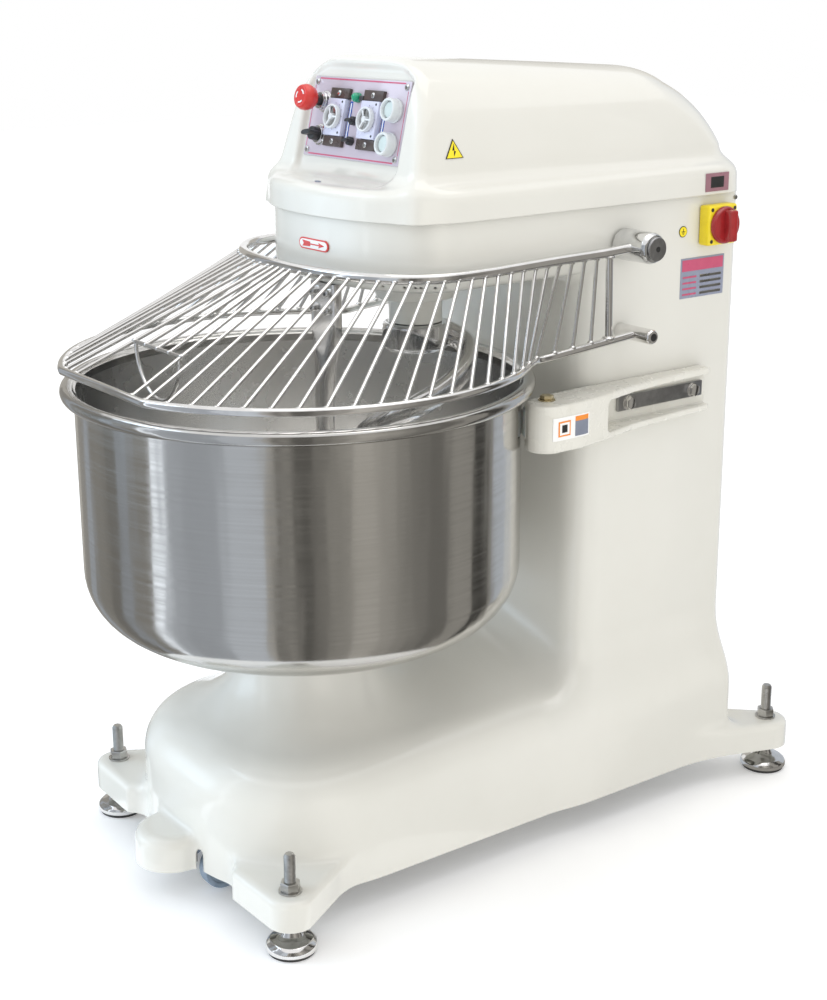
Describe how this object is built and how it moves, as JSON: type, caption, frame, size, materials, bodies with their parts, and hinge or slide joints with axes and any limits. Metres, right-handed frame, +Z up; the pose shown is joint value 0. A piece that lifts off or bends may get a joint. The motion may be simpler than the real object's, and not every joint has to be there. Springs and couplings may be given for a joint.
{
  "type": "spiral dough mixer",
  "caption": "Floor-standing spiral dough mixer: turning steel bowl under an overhanging head, spiral hook, breaker bar, hinged wire guard, sloping control panel.",
  "frame": {"origin": "on the floor, at the middle of the machine's footprint", "axes": "+Z up, -Y towards the bowl and the operator, +X to the operator's right"},
  "size_m": [0.7424, 1.2292, 1.2865],
  "materials": {
    "cream_enamel": "glossy cream enamel on cast iron",
    "stainless_steel": "brushed stainless steel",
    "polished_steel": "polished stainless steel",
    "machined_steel": "turned steel",
    "pulley_iron": "turned cast iron",
    "black_rubber": "moulded rubber",
    "motor_paint": "satin blue-grey paint",
    "cabinet_paint": "satin grey paint",
    "panel_acrylic": "clear acrylic over a pale pink print",
    "black_plastic": "satin",
    "timer_grey": "satin light grey",
    "clear_plastic": "clear polycarbonate",
    "white_plastic": "gloss",
    "signal_red": "gloss",
    "signal_yellow": "satin",
    "pilot_green": "clear green lens",
    "nylon": "milky nylon",
    "wheel_blue": "blue-grey polyurethane"
  },
  "bodies": {
    "frame": {"machine_frame": "cream_enamel", "rear_cover": "cream_enamel", "top_cover": "cream_enamel", "control_panel": "panel_acrylic", "estop_collar": "polished_steel", "selector_bezel": "polished_steel", "pilot_lamp": "pilot_green", "first_timer_body": "timer_grey", "second_timer_body": "timer_grey", "start_bezel": "clear_plastic", "stop_bezel": "clear_plastic", "bowl_bearing": "machined_steel", "bowl_motor": "motor_paint", "bowl_belt": "black_rubber", "spindle_housing": "cream_enamel", "spindle_bearing_lower": "machined_steel", "spindle_bearing_upper": "machined_steel", "spiral_motor": "motor_paint", "spiral_belt": "black_rubber", "breaker_bar": "stainless_steel", "guard_pivot_left": "machined_steel", "guard_pivot_right": "machined_steel", "guard_stop_left": "polished_steel", "guard_stop_right": "polished_steel", "guide_arm": "cream_enamel", "guide_roller_axle": "machined_steel", "guide_strap": "machined_steel", "isolator_base": "signal_yellow", "electrical_box": "cabinet_paint", "foot_nut_front_left": "polished_steel", "foot_nut_front_right": "polished_steel", "foot_nut_rear_left": "polished_steel", "foot_nut_rear_right": "polished_steel"},
    "bowl": {"bowl": "stainless_steel", "bowl_hub": "machined_steel", "bowl_shaft": "machined_steel", "bowl_pulley": "pulley_iron"},
    "bowl_rotor": {"bowl_motor_pulley": "pulley_iron"},
    "spiral": {"spiral_hook": "polished_steel", "spindle_shaft": "machined_steel", "spindle_pulley": "pulley_iron"},
    "spiral_rotor": {"spiral_motor_pulley": "pulley_iron"},
    "guard": {"bowl_guard": "polished_steel"},
    "guide_roller": {"guide_roller": "nylon"},
    "estop_stem": {"estop_stem": "black_plastic"},
    "estop_button": {"estop_button": "signal_red"},
    "bowl_selector": {"bowl_selector_knob": "black_plastic"},
    "mode_selector": {"mode_selector_knob": "black_plastic"},
    "speed_selector": {"speed_selector_knob": "black_plastic"},
    "first_timer": {"first_timer_knob": "clear_plastic"},
    "second_timer": {"second_timer_knob": "clear_plastic"},
    "start_button": {"start_button": "white_plastic"},
    "stop_button": {"stop_button": "white_plastic"},
    "isolator_handle": {"isolator_handle": "signal_red"},
    "foot_front_left": {"foot_front_left": "stainless_steel"},
    "foot_front_right": {"foot_front_right": "stainless_steel"},
    "foot_rear_left": {"foot_rear_left": "stainless_steel"},
    "foot_rear_right": {"foot_rear_right": "stainless_steel"},
    "wheel_left": {"wheel_left": "wheel_blue"},
    "wheel_right": {"wheel_right": "wheel_blue"}
  },
  "joints": [
    {"name": "bowl_spin", "type": "hinge", "parent": "frame", "child": "bowl", "pos_m": [0, -0.243, 0.397], "axis": [0, 0, 1], "continuous": true},
    {"name": "bowl_rotor_spin", "type": "hinge", "parent": "frame", "child": "bowl_rotor", "pos_m": [0, 0.317, 0.12], "axis": [0, 0, 1], "continuous": true},
    {"name": "spiral_spin", "type": "hinge", "parent": "frame", "child": "spiral", "pos_m": [0, -0.013, 0.8], "axis": [0, 0, 1], "continuous": true},
    {"name": "spiral_rotor_spin", "type": "hinge", "parent": "frame", "child": "spiral_rotor", "pos_m": [0, 0.317, 1.057], "axis": [0, 0, 1], "continuous": true},
    {"name": "guide_roller_spin", "type": "hinge", "parent": "frame", "child": "guide_roller", "pos_m": [0.256, 0.049, 0.7335], "axis": [0, 0, 1], "continuous": true},
    {"name": "guard_lift", "type": "hinge", "parent": "frame", "child": "guard", "pos_m": [0, 0.233, 0.99], "axis": [-1, 0, 0], "range_deg": [0, 75]},
    {"name": "estop_press", "type": "slide", "parent": "frame", "child": "estop_stem", "axis": [0, 0.974, -0.2266], "range_m": [0, 0.005], "stiffness_N_per_m": 700},
    {"name": "estop_twist", "type": "hinge", "parent": "estop_stem", "child": "estop_button", "pos_m": [-0.088, -0.1223, 1.214], "axis": [0, -0.974, 0.2266], "range_deg": [0, 45], "stiffness_Nm_per_rad": 0.03},
    {"name": "bowl_selector_turn", "type": "hinge", "parent": "frame", "child": "bowl_selector", "pos_m": [-0.088, -0.1341, 1.1634], "axis": [0, -0.974, 0.2266], "range_deg": [-45, 45]},
    {"name": "mode_selector_turn", "type": "hinge", "parent": "frame", "child": "mode_selector", "pos_m": [0, -0.1282, 1.1887], "axis": [0, -0.974, 0.2266], "range_deg": [-45, 45]},
    {"name": "speed_selector_turn", "type": "hinge", "parent": "frame", "child": "speed_selector", "pos_m": [0, -0.1352, 1.1585], "axis": [0, -0.974, 0.2266], "range_deg": [-45, 45]},
    {"name": "first_timer_turn", "type": "hinge", "parent": "frame", "child": "first_timer", "pos_m": [-0.045, -0.1275, 1.1916], "axis": [0, -0.974, 0.2266], "range_deg": [-300, 0]},
    {"name": "second_timer_turn", "type": "hinge", "parent": "frame", "child": "second_timer", "pos_m": [0.045, -0.1275, 1.1916], "axis": [0, -0.974, 0.2266], "range_deg": [-300, 0]},
    {"name": "start_press", "type": "slide", "parent": "frame", "child": "start_button", "axis": [0, 0.974, -0.2266], "range_m": [0, 0.003], "stiffness_N_per_m": 500},
    {"name": "stop_press", "type": "slide", "parent": "frame", "child": "stop_button", "axis": [0, 0.974, -0.2266], "range_m": [0, 0.003], "stiffness_N_per_m": 500},
    {"name": "isolator_turn", "type": "hinge", "parent": "frame", "child": "isolator_handle", "pos_m": [0.2446, 0.438, 1.004], "axis": [1, 0, 0], "range_deg": [0, 90]},
    {"name": "foot_front_left_screw", "type": "slide", "parent": "frame", "child": "foot_front_left", "axis": [0, 0, -1], "range_m": [0, 0.03]},
    {"name": "foot_front_right_screw", "type": "slide", "parent": "frame", "child": "foot_front_right", "axis": [0, 0, -1], "range_m": [0, 0.03]},
    {"name": "foot_rear_left_screw", "type": "slide", "parent": "frame", "child": "foot_rear_left", "axis": [0, 0, -1], "range_m": [0, 0.03]},
    {"name": "foot_rear_right_screw", "type": "slide", "parent": "frame", "child": "foot_rear_right", "axis": [0, 0, -1], "range_m": [0, 0.03]},
    {"name": "wheel_left_roll", "type": "hinge", "parent": "frame", "child": "wheel_left", "pos_m": [-0.058, -0.446, 0.041], "axis": [1, 0, 0], "continuous": true},
    {"name": "wheel_right_roll", "type": "hinge", "parent": "frame", "child": "wheel_right", "pos_m": [0.058, -0.446, 0.041], "axis": [1, 0, 0], "continuous": true}
  ],
  "couplings": [
    {"joint": "bowl_rotor_spin", "follows": "bowl_spin", "ratio": 4.2857},
    {"joint": "guide_roller_spin", "follows": "bowl_spin", "ratio": -9.2105},
    {"joint": "spiral_rotor_spin", "follows": "spiral_spin", "ratio": 3.7143}
  ]
}
